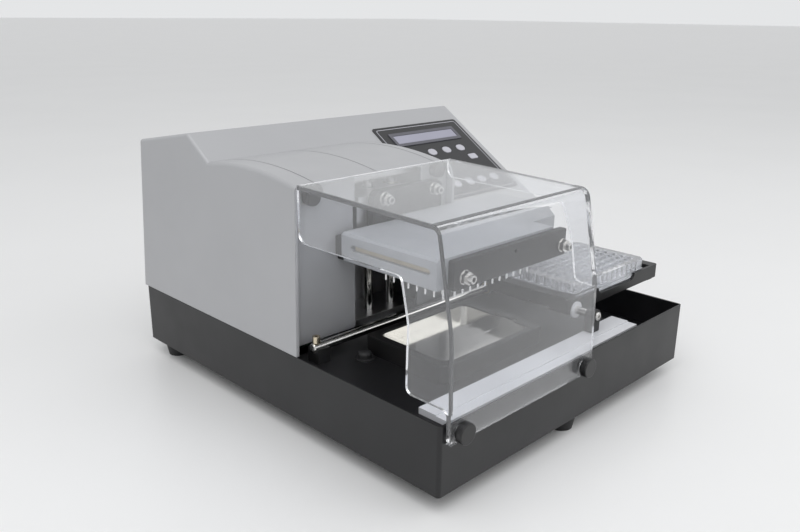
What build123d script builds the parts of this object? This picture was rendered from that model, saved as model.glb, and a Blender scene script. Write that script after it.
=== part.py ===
from build123d import *
from math import cos, degrees, atan2, hypot, radians, sin, tan
import os

os.makedirs("parts", exist_ok=True)

# A benchtop washer for 96-well plates. X runs to the right, Y to the back, Z up, in millimetres.
# The origin is the middle of the front foot's sole, on the centre line of the base.
# Most places below are measured from the left side, the front side or the underside of the pan.

# Clearances
seat = 0.3  # between pieces that rest on each other
fit = 0.1  # around a piece pressed into a round hole
run = 0.05  # around a shaft that slides or turns

# Base pan and feet
base_w = 342.0
base_d = 396.0
base_h = 55.2
sheet = 1.5
pan_corner_r = 3.0
foot_h = 15.0
foot_top_d = 26.0
foot_sole_d = 20.0
foot_bore_depth = 9.0
front_foot_inset = 16.0
rear_foot_inset = 23.0
side_foot_inset = 17.0
foot_screw_d = 4.0
foot_screw_head_d = 8.0
foot_screw_head_h = 3.0

left = -base_w / 2
right = base_w / 2
front = -front_foot_inset
rear = front + base_d
pan_z = foot_h
pan_floor = pan_z + sheet
pan_top = pan_z + base_h

# Deck inside the pan, with a lower bay on the right
deck_h = 50.0
bay_h = 26.0
deck_w = 266.0
deck_d = 166.0
deck_gap = 0.6
deck_z = pan_z + deck_h
bay_z = pan_z + bay_h

# White wear strip that the carrier's front foot slides on
strip_inset_x = 11.0
strip_inset_y = 4.9
strip_w = 255.0
strip_d = 25.5
strip_t = 5.0
strip_lip_d = 9.0
strip_lip_drop = 0.8
strip_z = deck_z + strip_t

# Priming trough and its stainless liner
trough_x = left + 56.0
trough_y = front + 48.0
trough_w = 122.0
trough_d = 86.0
trough_h = 15.5
trough_rim_left = 8.0
trough_rim_right = 9.5
trough_rim_front = 5.3
trough_rim_rear = 6.5
trough_floor = 4.5
trough_corner_r = 3.0
liner_t = 0.8
liner_r = 7.0
liner_drop = 0.9
drain_d = 14.0
drain_bore = 8.0
drain_drop = 22.0
drain_inset = 12.0

# Rubber plug in the deck
plug_x = left + 46.0
plug_y = front + 124.5
plug_ring_d = 16.0
plug_ring_t = 1.6
plug_dome_d = 12.0
plug_dome_h = 7.0
plug_stem_d = 6.0
plug_stem_drop = 4.0

# Round rail of the plate carrier
rod_d = 8.0
rod_y = front + 147.0
rod_z = pan_z + 62.5
rod_start = left + 10.0
rod_length = 322.0
rod_chamfer = 0.8
rod_block_w = 12.0
rod_block_d = 13.0
rod_block_inset = 1.0
rod_screw_d = 3.0
rod_screw_head_d = 6.4
rod_screw_head_h = 5.5
rod_screw_inset = 4.5
hex_socket = 2.5

# Housing, as seen from the side
wall = 3.0
housing_z = pan_top + seat
back_foot_y = front + 401.7
back_top_y = front + 392.0
back_top_z = pan_z + 201.2
ridge_y = front + 306.0
ridge_z = pan_z + 216.2
slope = 33.5
face_y = front + 158.0
hood_w = 184.0
hood_y = front + 154.5
hood_front_z = pan_z + 193.0
hood_mid_y = front + 181.0
hood_mid_z = pan_z + 197.4
hood_crown_y = front + 221.0
hood_crown_z = pan_z + 200.0
hood_end_y = front + 274.0
hood_side_r = 20.0
draft_angle = 1.3
edge_r = 3.0
seams = [23.0, 89.0, 158.0]
seam_w = 1.0
seam_depth = 0.9

# Recessed front panel and the shield's rubber bumpers
panel_y = front + 161.5
panel_t = 2.0
panel_z = pan_z + 60.5
gate_x = left + 69.0
gate_w = 78.0
gate_top = pan_z + 187.0
bumper_d = 14.5
bumper_l = 7.0
bumper_stem_d = 6.0
bumper_places = [(left + 24.0, pan_z + 182.3), (left + 164.6, pan_z + 182.3)]

# Keypad on the slope, in the slope's own measures from the ridge down
pad_x = left + 203.0
pad_w = 127.0
pad_top = 24.0
pad_h = 115.0
pad_t = 0.8
pad_r = 3.0
bezel_x = left + 217.0
bezel_w = 98.0
bezel_h = 20.0
bezel_top = 35.0
bezel_t = 1.6
bezel_rim = 4.0
glass_t = 0.8
key_w = 11.5
key_h = 9.0
key_rise = 1.4
key_root = 1.6
key_gap = 0.35
key_travel = 0.5
key_round = 0.6
soft_pitch = 22.0
soft_first_x = left + 234.0
soft_drop = 68.4
menu_x = [left + 228.0, left + 306.7]
menu_drop = 83.4
menu_w = 12.0
menu_h = 7.5
entry_pitch = 20.0
entry_first_x = left + 227.0
entry_drop = 120.4

# Rear panel, in the leaning back wall's own measures
back_panel_w = 264.0
back_panel_h = 104.0
back_panel_t = 1.5
back_panel_rim = 6.0
back_panel_up = 66.0
inlet_u = -98.0
inlet_v = -22.0
inlet_w = 27.0
inlet_h = 20.0
inlet_flange_w = 48.0
inlet_flange_h = 24.0
inlet_depth = 16.0
switch_u = -98.0
switch_v = 22.0
switch_w = 21.0
switch_h = 28.0
switch_tilt = 8.0
serial_u = -46.0
serial_v = -24.0
serial_w = 31.0
serial_h = 12.5
barb_u = [20.0, 54.0, 88.0]
barb_v = -22.0
barb_d = 9.0
barb_l = 22.0
barb_bore = 3.6
barb_nut = 15.0
vent_count = 11
vent_pitch = 9.0
vent_w = 3.0
vent_h = 34.0
vent_u = 18.0
vent_v = 22.0

# Lift column behind the front panel
shaft_d = 8.0
shaft_gap = 56.0
lift_x = left + 108.0
lift_y = front + 188.0
column_w = 92.0
column_t = 4.0
column_y = front + 213.0
column_top = pan_z + 186.0
lug_d = 44.0
lug_t = 6.0
low_lug_z = pan_z + 54.0
column_foot_d = 24.0
screw_d = 8.0
screw_lead_gap = 0.2
motor_w = 42.0
motor_h = 38.0
motor_corner_r = 5.0

# Lift carriage and the black plate that carries the manifold
carriage_w = 70.0
carriage_y = front + 161.2
carriage_d = 42.0
carriage_z = pan_z + 130.0
carriage_h = 40.0
bush_d = 14.0
nut_d = 13.0
nut_flange_d = 22.0
nut_flange_t = 3.0
saddle_x = left + 50.0
saddle_w = 130.0
saddle_z = pan_z + 126.0
saddle_h = 20.0
saddle_neck_x = left + 84.0
saddle_neck_w = 82.0
saddle_neck_top = pan_z + 174.0
line_x = [left + 95.0, left + 155.0]
line_z = pan_z + 167.0

# Manifold casting
body_x = left + 50.0
body_y = front + 50.0
body_w = 138.0
body_rear = front + 153.9
body_z = pan_z + 126.0
body_top = pan_z + 150.0
wing_x = left + 220.0
wing_end_x = left + 243.0
wing_y = front + 71.0
wing_corner_y = front + 94.0
wing_t = 10.0
body_edge_r = 2.0
slot_y = front + 57.0
slot_l = 86.0
slot_z = pan_z + 139.1
slot_h = 4.8
slot_depth = 6.0
bar_t = 3.0
plate_x = left + 58.0
plate_w = 140.0
plate_t = 6.0
plate_z = pan_z + 125.5
plate_h = 22.5
plate_hole_x = left + 130.0
plate_hole_d = 3.0
bolt_x = [left + 68.5, left + 192.0]
bolt_z = pan_z + 134.5

# Bright fittings, used on the manifold and on the saddle
washer_d = 11.5
washer_t = 1.2
hex_across = 9.5
hex_t = 4.0
barrel_d = 6.6
barrel_l = 4.5
barrel_bore = 3.6

# Wells and tubes, on the standard 9 mm pitch
well_pitch = 9.0
well_columns = 12
well_rows = 8
wash_x = left + 115.5
wash_y = front + 89.5
tube_d = 1.7
tube_l = 12.0
tube_sides = 6
tube_plate_t = 4.0
tube_plate_margin = 6.0

# 96-well plate, with the standard footprint
skirt_w = 127.76
skirt_d = 85.48
plate_total_h = 14.35
skirt_h = 3.0
skirt_step = 1.7
plate_corner_r = 3.0
plate_notch = 5.0
well_d = 6.6
well_depth = 10.8
well_sides = 8

# Plate carrier
carrier_travel = 175.0
plate_mid_x = wash_x + carrier_travel
carrier_x = left + 213.0
carrier_w = 158.0
carrier_y = front + 43.4
carrier_d = 94.6
carrier_z = pan_z + 66.3
carrier_top = pan_z + 79.5
carrier_r = 3.0
carrier_heel_w = 12.0
carrier_heel_drop = 2.5
ledge_z = pan_z + 73.9
ledge_w = 5.5
pocket_gap = 0.35
pocket_end = left + 360.0
finger_x = left + 262.0
finger_w = 64.0
finger_depth = 6.0
boss_d = 14.0
boss_l = 22.0
boss_x = [left + 224.0, left + 292.0]
boss_web_z = pan_z + 63.0
boss_web_t = 7.0
slider_bush_d = 11.0

# Front outrigger of the carrier
pin_x = left + 221.0
pin_z = pan_z + 70.0
pin_d = 7.0
pin_stud_d = 4.0
disc_d = 15.0
disc_t = 1.6
shoe_w = 12.0
shoe_d = 10.0
shoe_y = front + 19.8
shoe_top = pan_z + 75.4
shoe_round = 5.0
cap_d = 7.6
cap_t = 2.6

# Clear splash shield
shield_t = 4.0
shield_x = left + 5.0
shield_w = 172.0
shield_rear = front + 154.2
shield_rear_z = pan_z + 194.0
shield_bend_y = front + 10.5
shield_bend_z = pan_z + 190.4
shield_bend_r = 9.0
shield_waist_y = front - 3.4
shield_waist_z = pan_z + 118.0
shield_waist_r = 60.0
shield_foot_y = front - 5.2
shield_foot_z = pan_z + 41.0
left_cheek_z = pan_z + 149.5
left_cheek_y = front + 44.0
left_cheek_waist = (front + 37.0, pan_z + 117.0)
left_cheek_foot = (front + 38.0, pan_z + 65.0)
right_cheek_z = pan_z + 175.0
right_cheek_y = front + 34.0
right_cheek_waist = (front + 22.4, pan_z + 145.0)
right_cheek_foot = (front + 17.0, pan_z + 114.0)
cheek_cut_r = 6.0
cheek_corner_r = 8.0
shield_slot_w = 9.0

# Knobs that the shield hooks over
knob_x = [left + 16.0, left + 166.0]
knob_z = pan_z + 48.5
knob_flange_d = 13.0
knob_flange_t = 0.5
knob_neck_d = 8.4
knob_head_d = 16.0
knob_head_y = front - 5.6
knob_head_t = 6.0
knob_stud_d = 4.0
knob_stud_l = 3.4
knob_edge = 0.8

# Inside the rear bay
supply_x = left + 200.0
supply_w = 110.0
supply_y = front + 200.0
supply_d = 150.0
supply_h = 38.0
board_x = left + 24.0
board_w = 150.0
board_y = front + 244.0
board_d = 120.0
board_t = 1.6
board_up = 10.0
board_post_d = 6.0


def level(z):
    """The flat plane at height z."""
    return Plane.XY.offset(z)


def across(y):
    """The upright plane across the machine at depth y. It extrudes towards the front."""
    return Plane.XZ.offset(-y)


def along(x):
    """The upright plane along the machine at x, with Y across and Z up. It extrudes to the right."""
    return Plane.YZ.offset(x)


def block(x0, y0, z0, w, d, h, mode=Mode.ADD):
    """A box from its low corner."""
    with Locations((x0, y0, z0)):
        Box(w, d, h, align=(Align.MIN, Align.MIN, Align.MIN), mode=mode)


def rod_along(axis, place, d, length, mode=Mode.ADD):
    """A cylinder that starts at a place and runs along an axis."""
    with Locations(Plane(origin=place, z_dir=axis)):
        Cylinder(d / 2, length, align=(Align.CENTER, Align.CENTER, Align.MIN), mode=mode)


# Base pan: one folded tray, open at the top
feet_places = [
    (0, front + front_foot_inset),
    (left + side_foot_inset, rear - rear_foot_inset),
    (right - side_foot_inset, rear - rear_foot_inset),
]
with BuildPart() as base_pan:
    with BuildSketch(level(pan_z)):
        with Locations((0, front + base_d / 2)):
            RectangleRounded(base_w, base_d, pan_corner_r)
    extrude(amount=base_h)
    with BuildSketch(level(pan_floor)):
        with Locations((0, front + base_d / 2)):
            RectangleRounded(base_w - 2 * sheet, base_d - 2 * sheet, pan_corner_r - sheet)
    extrude(amount=base_h, mode=Mode.SUBTRACT)
    with BuildSketch(level(pan_z)):
        with Locations(*feet_places):
            Circle(foot_screw_d / 2 + fit)
    extrude(amount=sheet, mode=Mode.SUBTRACT)
    for x in knob_x:
        rod_along((0, -1, 0), (x, front + sheet, knob_z), knob_stud_d + 2 * run, sheet, Mode.SUBTRACT)
base_pan.part.label = "base_pan"
export_step(base_pan.part, "parts/base_pan.step")

# Three tapered rubber feet, one at the front and two at the rear
with BuildPart() as rubber_feet:
    with BuildSketch(level(0)):
        with Locations(*feet_places):
            Circle(foot_sole_d / 2)
    taper = -degrees(atan2((foot_top_d - foot_sole_d) / 2, foot_h))
    extrude(amount=foot_h, taper=taper)
    with BuildSketch(level(foot_h)):
        with Locations(*feet_places):
            Circle(foot_screw_d / 2 + fit)
    extrude(amount=-foot_bore_depth, mode=Mode.SUBTRACT)
rubber_feet.part.label = "rubber_feet"
export_step(rubber_feet.part, "parts/rubber_feet.step")

# Screws that hold the feet from inside the pan
with BuildPart() as foot_screws:
    with BuildSketch(level(pan_floor)):
        with Locations(*feet_places):
            Circle(foot_screw_head_d / 2)
    extrude(amount=foot_screw_head_h)
    with BuildSketch(level(pan_floor)):
        with Locations(*feet_places):
            Circle(foot_screw_d / 2)
    extrude(amount=-(foot_bore_depth + sheet - seat))
foot_screws.part.label = "foot_screws"
export_step(foot_screws.part, "parts/foot_screws.step")

# Deck: a folded bridge over the pan's floor, stepped down into the bay
deck_left = left + sheet + deck_gap
deck_right = right - sheet - deck_gap
deck_front = front + sheet + deck_gap
deck_back = front + deck_d
deck_step = left + deck_w
drain_x = trough_x + trough_rim_left + drain_inset
drain_y = trough_y + trough_d / 2
with BuildPart() as deck_plate:
    with BuildSketch(across(deck_back)):
        with BuildLine():
            Polyline(
                (deck_left, deck_z),
                (deck_step, deck_z),
                (deck_step, bay_z),
                (deck_right, bay_z),
                (deck_right, bay_z - sheet),
                (deck_step - sheet, bay_z - sheet),
                (deck_step - sheet, deck_z - sheet),
                (deck_left, deck_z - sheet),
                close=True,
            )
        make_face()
    extrude(amount=deck_back - deck_front)
    for flange_back in [deck_front + sheet, deck_back]:
        with BuildSketch(across(flange_back)):
            with BuildLine():
                Polyline(
                    (deck_left, pan_floor),
                    (deck_left, deck_z),
                    (deck_step, deck_z),
                    (deck_step, bay_z),
                    (deck_right, bay_z),
                    (deck_right, pan_floor),
                    close=True,
                )
            make_face()
        extrude(amount=sheet)
    with BuildSketch(level(deck_z)):
        with Locations((drain_x, drain_y)):
            Circle(drain_d / 2 + seat)
        with Locations((plug_x, plug_y)):
            Circle(plug_stem_d / 2 + fit)
    extrude(amount=-sheet, mode=Mode.SUBTRACT)
    for x in knob_x:
        stud_room = knob_stud_d + 4 * seat
        rod_along((0, -1, 0), (x, deck_front + sheet, knob_z), stud_room, 2 * sheet, Mode.SUBTRACT)
deck_plate.part.label = "deck_plate"
export_step(deck_plate.part, "parts/deck_plate.step")

# Wear strip, with a slightly lower front lip
strip_front = front + strip_inset_y
with BuildPart() as wear_strip:
    block(left + strip_inset_x, strip_front, deck_z, strip_w, strip_d, strip_t)
    lip_z = strip_z - strip_lip_drop
    block(left + strip_inset_x, strip_front, lip_z, strip_w, strip_lip_d, strip_t, Mode.SUBTRACT)
wear_strip.part.label = "wear_strip"
export_step(wear_strip.part, "parts/wear_strip.step")

# Priming trough: a moulded frame that stands on the deck, with a drain spigot through it
cavity_x = trough_x + trough_rim_left
cavity_y = trough_y + trough_rim_front
cavity_w = trough_w - trough_rim_left - trough_rim_right
cavity_d = trough_d - trough_rim_front - trough_rim_rear
cavity_mid = (cavity_x + cavity_w / 2, cavity_y + cavity_d / 2)
cavity_z = deck_z + trough_floor
trough_top = deck_z + trough_h
with BuildPart() as prime_trough:
    with BuildSketch(level(deck_z)):
        with Locations((trough_x + trough_w / 2, trough_y + trough_d / 2)):
            RectangleRounded(trough_w, trough_d, trough_corner_r)
    extrude(amount=trough_h)
    with BuildSketch(level(cavity_z)):
        with Locations(cavity_mid):
            RectangleRounded(cavity_w, cavity_d, liner_r)
    extrude(amount=trough_h, mode=Mode.SUBTRACT)
    rod_along((0, 0, -1), (drain_x, drain_y, deck_z), drain_d, drain_drop)
    rod_along((0, 0, -1), (drain_x, drain_y, cavity_z), drain_bore, drain_drop + trough_h, Mode.SUBTRACT)
prime_trough.part.label = "prime_trough"
export_step(prime_trough.part, "parts/prime_trough.step")

# Pressed liner in the trough
liner_top = trough_top - liner_drop
with BuildPart() as trough_liner:
    with BuildSketch(level(cavity_z)):
        with Locations(cavity_mid):
            RectangleRounded(cavity_w - 2 * seat, cavity_d - 2 * seat, liner_r - seat)
    extrude(amount=liner_top - cavity_z)
    inner_w = cavity_w - 2 * seat - 2 * liner_t
    inner_d = cavity_d - 2 * seat - 2 * liner_t
    with BuildSketch(level(cavity_z + liner_t)):
        with Locations(cavity_mid):
            RectangleRounded(inner_w, inner_d, liner_r - seat - liner_t)
    extrude(amount=trough_h, mode=Mode.SUBTRACT)
    rod_along((0, 0, 1), (drain_x, drain_y, cavity_z), drain_bore, liner_t, Mode.SUBTRACT)
trough_liner.part.label = "trough_liner"
export_step(trough_liner.part, "parts/trough_liner.step")

# Rubber plug in the deck
with BuildPart() as deck_plug:
    rod_along((0, 0, 1), (plug_x, plug_y, deck_z), plug_ring_d, plug_ring_t)
    rod_along((0, 0, 1), (plug_x, plug_y, deck_z), plug_dome_d, plug_dome_h)
    crown = deck_plug.edges().group_by(Axis.Z)[-1]
    fillet(crown, plug_dome_d / 4)
    rod_along((0, 0, -1), (plug_x, plug_y, deck_z), plug_stem_d, plug_stem_drop)
deck_plug.part.label = "deck_plug"
export_step(deck_plug.part, "parts/deck_plug.step")

# Guide rod, with a cross hole at each end
rod_end = rod_start + rod_length
rod_screw_places = [rod_start + rod_screw_inset, rod_end - rod_screw_inset]
rod_top = rod_z + rod_d / 2
with BuildPart() as guide_rod:
    rod_along((1, 0, 0), (rod_start, rod_y, rod_z), rod_d, rod_length)
    chamfer(guide_rod.edges().filter_by(GeomType.CIRCLE), rod_chamfer)
    for x in rod_screw_places:
        bore = rod_screw_d + 2 * fit
        rod_along((0, 0, 1), (x, rod_y, rod_z - rod_d), bore, 2 * rod_d, Mode.SUBTRACT)
guide_rod.part.label = "guide_rod"
export_step(guide_rod.part, "parts/guide_rod.step")

# Saddle blocks under the rod's ends, one on the deck and one in the bay
rod_block_places = [
    (rod_start + rod_block_inset, deck_z),
    (rod_end - rod_block_inset - rod_block_w, bay_z),
]
with BuildPart() as rod_brackets:
    for x, foot in rod_block_places:
        block(x, rod_y - rod_block_d / 2, foot, rod_block_w, rod_block_d, rod_z - foot)
    rod_along((1, 0, 0), (left, rod_y, rod_z), rod_d + 2 * fit, base_w, Mode.SUBTRACT)
    for x in rod_screw_places:
        bore = rod_screw_d + 2 * fit
        rod_along((0, 0, -1), (x, rod_y, rod_z), bore, 2 * rod_d, Mode.SUBTRACT)
rod_brackets.part.label = "rod_brackets"
export_step(rod_brackets.part, "parts/rod_brackets.step")

# Cap screws down through the rod
with BuildPart() as rod_screws:
    for x in rod_screw_places:
        rod_along((0, 0, 1), (x, rod_y, rod_top + fit), rod_screw_head_d, rod_screw_head_h)
        rod_along((0, 0, -1), (x, rod_y, rod_top + fit), rod_screw_d, 1.5 * rod_d)
    with BuildSketch(level(rod_top + fit + rod_screw_head_h)):
        with Locations(*[(x, rod_y) for x in rod_screw_places]):
            RegularPolygon(hex_socket / 2, 6, major_radius=False)
    extrude(amount=-rod_screw_head_h / 2, mode=Mode.SUBTRACT)
rod_screws.part.label = "rod_screws"
export_step(rod_screws.part, "parts/rod_screws.step")


# Housing: a moulded shell, made as an outer form less the same form moved in by the wall
def back_wall_y(z, inset):
    """Depth of the leaning back wall at height z, moved in by inset."""
    lean = (back_foot_y - back_top_y) / (back_top_z - housing_z)
    shift = inset * hypot(1, lean)
    return back_foot_y - lean * (z - housing_z) - shift


def roof_z(y, inset):
    """Height of the rear roof, which falls gently from the ridge to the back."""
    fall = (ridge_z - back_top_z) / (back_top_y - ridge_y)
    return ridge_z - fall * (y - ridge_y) - inset * hypot(1, fall)


def slope_z(y, inset):
    """Height of the keypad slope at depth y, moved in by inset."""
    return ridge_z - tan(radians(slope)) * (ridge_y - y) - inset / cos(radians(slope))


def ridge_point(inset):
    """Where the roof and the keypad slope meet."""
    fall = (ridge_z - back_top_z) / (back_top_y - ridge_y)
    rise = tan(radians(slope))
    y = ridge_y + (inset / cos(radians(slope)) - inset * hypot(1, fall)) / (rise + fall)
    return (y, slope_z(y, inset))


def hood_form(inset, foot, open_front):
    """The bulge at the front left, with a rounded brow along its right side."""
    end_z = slope_z(hood_end_y, 0) - inset
    start = hood_y - 2 * wall if open_front else hood_y
    outline = [(hood_end_y, end_z), (hood_end_y, foot), (start, foot), (start, hood_front_z - inset)]
    if open_front:
        outline.append((hood_y, hood_front_z - inset))
    with BuildPart(mode=Mode.PRIVATE) as hood:
        with BuildSketch(along(left)):
            with BuildLine():
                Spline(
                    (hood_y, hood_front_z - inset),
                    (hood_mid_y, hood_mid_z - inset),
                    (hood_crown_y, hood_crown_z - inset),
                    (hood_end_y, end_z),
                )
                Polyline(*outline)
            make_face()
        extrude(amount=hood_w - inset)
        brow = hood.faces().sort_by(Axis.X)[-1].edges().filter_by(Axis.Z, reverse=True)
        brow = brow.filter_by(lambda edge: edge.center().Z > hood_front_z - 2 * inset - seat)
        fillet(brow, hood_side_r - inset)
    return hood.part


def housing_form(inset, foot, open_front):
    """The housing's solid form, smaller by inset all round and cut off at the height foot."""
    back_z = roof_z(back_wall_y(back_top_z, inset), inset)
    hood = hood_form(inset, foot, open_front)
    with BuildPart(mode=Mode.PRIVATE) as form:
        with BuildSketch(along(left)):
            with BuildLine():
                Polyline(
                    (face_y + inset, foot),
                    (face_y + inset, slope_z(face_y + inset, inset)),
                    ridge_point(inset),
                    (back_wall_y(back_z, inset), back_z),
                    (back_wall_y(foot, inset), foot),
                    close=True,
                )
            make_face()
        extrude(amount=base_w)
        add(hood)
        for side, sign in [(left, 1), (right, -1)]:
            foot_point = (side + sign * inset, 0, housing_z)
            outward = (-sign * cos(radians(draft_angle)), 0, sin(radians(draft_angle)))
            split(bisect_by=Plane(origin=foot_point, z_dir=outward), keep=Keep.BOTTOM)
        if inset == 0:
            sides = form.faces().sort_by(Axis.X)
            rims = sides[0].edges() + sides[-1].edges()
            rims = rims.filter_by(lambda edge: edge.center().Z > housing_z + seat)
            rims = rims.filter_by(lambda edge: edge.center().Y > face_y + seat)
            folds = form.edges().filter_by(Axis.X)
            folds = folds.filter_by(lambda edge: edge.center().Z > back_top_z - seat)
            fillet(rims + folds, edge_r)
    return form.part


def seam_groove(seam):
    """A thin groove over the hood, as deep as the groove form lies under the outer form."""
    slab = Box(seam_w, hood_end_y - hood_y + wall, 6 * wall, align=(Align.CENTER, Align.MIN, Align.MIN))
    return Pos(left + seam, hood_y - wall, hood_front_z - 2 * wall) * slab - groove_form


outer_form = housing_form(0, housing_z, False)
inner_form = housing_form(wall, housing_z - wall, True)
groove_form = housing_form(seam_depth, housing_z, False)
grooves = [seam_groove(seam) for seam in seams]

lean_angle = degrees(atan2(back_foot_y - back_top_y, back_top_z - housing_z))
back_panel_z = housing_z + back_panel_up
back_plane = Plane(
    origin=(0, back_wall_y(back_panel_z, 0), back_panel_z),
    x_dir=(-1, 0, 0),
    z_dir=(0, cos(radians(lean_angle)), sin(radians(lean_angle))),
)
key_plane = Plane(
    origin=(0, ridge_y, ridge_z),
    x_dir=(1, 0, 0),
    z_dir=(0, -sin(radians(slope)), cos(radians(slope))),
)

# Every key is a name, a place on the slope and a size
keys = []
for i in range(4):
    keys.append((f"soft_key_{i + 1}", soft_first_x + i * soft_pitch, -soft_drop, key_w, key_h, True))
for i, x in enumerate(menu_x):
    keys.append((f"menu_key_{i + 1}", x, -menu_drop, menu_w, menu_h, False))
for i in range(5):
    keys.append((f"entry_key_{i + 1}", entry_first_x + i * entry_pitch, -entry_drop, key_w, key_h, True))


def key_outline(w, h, oval, gap):
    """One key's outline in the current sketch place, larger by a gap."""
    if oval:
        SlotOverall(w + 2 * gap, h + 2 * gap)
    else:
        RectangleRounded(w + 2 * gap, h + 2 * gap, 1.5)


with BuildPart() as housing_shell:
    add(outer_form)
    add(inner_form, mode=Mode.SUBTRACT)
    for groove in grooves:
        add(groove, mode=Mode.SUBTRACT)
    with BuildSketch(key_plane):
        for name, x, v, w, h, oval in keys:
            with Locations((x, v)):
                key_outline(w, h, oval, key_gap)
    extrude(amount=-(key_root + key_travel + seat), mode=Mode.SUBTRACT)
    with BuildSketch(back_plane):
        Rectangle(back_panel_w, back_panel_h)
    extrude(amount=-(back_panel_t + seat), mode=Mode.SUBTRACT)
    with BuildSketch(back_plane):
        Rectangle(back_panel_w - 2 * back_panel_rim, back_panel_h - 2 * back_panel_rim)
    extrude(amount=-2 * wall, mode=Mode.SUBTRACT)
housing_shell.part.label = "housing_shell"
export_step(housing_shell.part, "parts/housing_shell.step")

# Front panel: a sheet set back inside the hood, with a tall gate for the lift
panel_form = housing_form(wall + seat, housing_z - wall, True)
with BuildPart() as front_panel:
    block(left + wall, panel_y, panel_z, hood_w - 2 * wall - seat, panel_t, hood_crown_z - panel_z)
    add(panel_form, mode=Mode.INTERSECT)
    block(gate_x, panel_y - wall, panel_z - wall, gate_w, 3 * wall, gate_top - panel_z + wall, Mode.SUBTRACT)
    for x, z in bumper_places:
        rod_along((0, 1, 0), (x, panel_y, z), bumper_stem_d + 2 * fit, panel_t, Mode.SUBTRACT)
front_panel.part.label = "front_panel"
export_step(front_panel.part, "parts/front_panel.step")

# Rubber bumpers that the shield leans on
with BuildPart() as bumpers:
    for x, z in bumper_places:
        rod_along((0, -1, 0), (x, panel_y, z), bumper_d, bumper_l)
    rims = bumpers.edges().group_by(Axis.Y)[0]
    fillet(rims, 1.2)
    for x, z in bumper_places:
        rod_along((0, 1, 0), (x, panel_y, z), bumper_stem_d, panel_t + 1)
bumpers.part.label = "bumpers"
export_step(bumpers.part, "parts/bumpers.step")

# Keypad overlay, with a window for the display and a hole for each key
pad_mid = (pad_x + pad_w / 2, -pad_top - pad_h / 2)
bezel_mid = (bezel_x + bezel_w / 2, -bezel_top - bezel_h / 2)
with BuildPart() as keypad_overlay:
    with BuildSketch(key_plane):
        with Locations(pad_mid):
            RectangleRounded(pad_w, pad_h, pad_r)
        with Locations(bezel_mid):
            Rectangle(bezel_w, bezel_h, mode=Mode.SUBTRACT)
    extrude(amount=pad_t)
    with BuildSketch(key_plane):
        for name, x, v, w, h, oval in keys:
            with Locations((x, v)):
                key_outline(w, h, oval, key_gap)
    extrude(amount=pad_t, mode=Mode.SUBTRACT)
keypad_overlay.part.label = "keypad_overlay"
export_step(keypad_overlay.part, "parts/keypad_overlay.step")

# Display: a raised bezel and its window
with BuildPart() as display_bezel:
    with BuildSketch(key_plane):
        with Locations(bezel_mid):
            RectangleRounded(bezel_w - seat, bezel_h - seat, 1.0)
    extrude(amount=bezel_t)
    with BuildSketch(key_plane.offset(glass_t)):
        with Locations(bezel_mid):
            Rectangle(bezel_w - 2 * bezel_rim, bezel_h - 2 * bezel_rim)
    extrude(amount=bezel_t, mode=Mode.SUBTRACT)
display_bezel.part.label = "display_bezel"
export_step(display_bezel.part, "parts/display_bezel.step")

with BuildPart() as display_window:
    with BuildSketch(key_plane.offset(glass_t)):
        with Locations(bezel_mid):
            Rectangle(bezel_w - 2 * bezel_rim - seat, bezel_h - 2 * bezel_rim - seat)
    extrude(amount=glass_t / 2)
display_window.part.label = "display_window"
export_step(display_window.part, "parts/display_window.step")

# Keys: each slides straight into its own pocket
for name, x, v, w, h, oval in keys:
    with BuildPart() as key:
        with BuildSketch(key_plane.offset(-key_root)):
            with Locations((x, v)):
                key_outline(w, h, oval, 0)
        extrude(amount=key_root + key_rise)
        key_top = key.faces().sort_by(Axis(key_plane.origin, key_plane.z_dir))[-1]
        fillet(key_top.edges(), key_round)
    key.part.label = name
    export_step(key.part, f"parts/{name}.step")

# Rear panel, flush in the back wall, with vents and connector holes
with BuildPart() as rear_panel:
    with BuildSketch(back_plane):
        Rectangle(back_panel_w - 2 * seat, back_panel_h - 2 * seat)
        with Locations((inlet_u, inlet_v)):
            Rectangle(inlet_w + 2 * seat, inlet_h + 2 * seat, mode=Mode.SUBTRACT)
        with Locations((switch_u, switch_v)):
            Rectangle(switch_w + 2 * seat, switch_h + 2 * seat, mode=Mode.SUBTRACT)
        with Locations((serial_u, serial_v)):
            Rectangle(serial_w - 8, serial_h - 2, mode=Mode.SUBTRACT)
        with Locations(*[(u, barb_v) for u in barb_u]):
            Circle(barb_d / 2 + seat, mode=Mode.SUBTRACT)
        with Locations((vent_u, vent_v)):
            with GridLocations(vent_pitch, vent_h, vent_count, 1):
                SlotOverall(vent_h, vent_w, rotation=90, mode=Mode.SUBTRACT)
    extrude(amount=-back_panel_t)
rear_panel.part.label = "rear_panel"
export_step(rear_panel.part, "parts/rear_panel.step")

# Mains inlet: a flanged socket with three flat pins
with BuildPart() as power_inlet:
    with BuildSketch(back_plane):
        with Locations((inlet_u, inlet_v)):
            RectangleRounded(inlet_flange_w, inlet_flange_h, 3)
    extrude(amount=2.0)
    with BuildSketch(back_plane.offset(2.0)):
        with Locations((inlet_u, inlet_v)):
            Rectangle(inlet_w, inlet_h)
    extrude(amount=-inlet_depth - 4)
    with BuildSketch(back_plane.offset(2.0)):
        with Locations((inlet_u, inlet_v)):
            Rectangle(inlet_w - 3, inlet_h - 4)
    extrude(amount=-inlet_depth, mode=Mode.SUBTRACT)
    with BuildSketch(back_plane.offset(2.0 - inlet_depth)):
        with Locations((inlet_u, inlet_v + 2), (inlet_u - 7, inlet_v - 2), (inlet_u + 7, inlet_v - 2)):
            Rectangle(2, 4)
    extrude(amount=inlet_depth - 6)
power_inlet.part.label = "power_inlet"
export_step(power_inlet.part, "parts/power_inlet.step")

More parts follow.
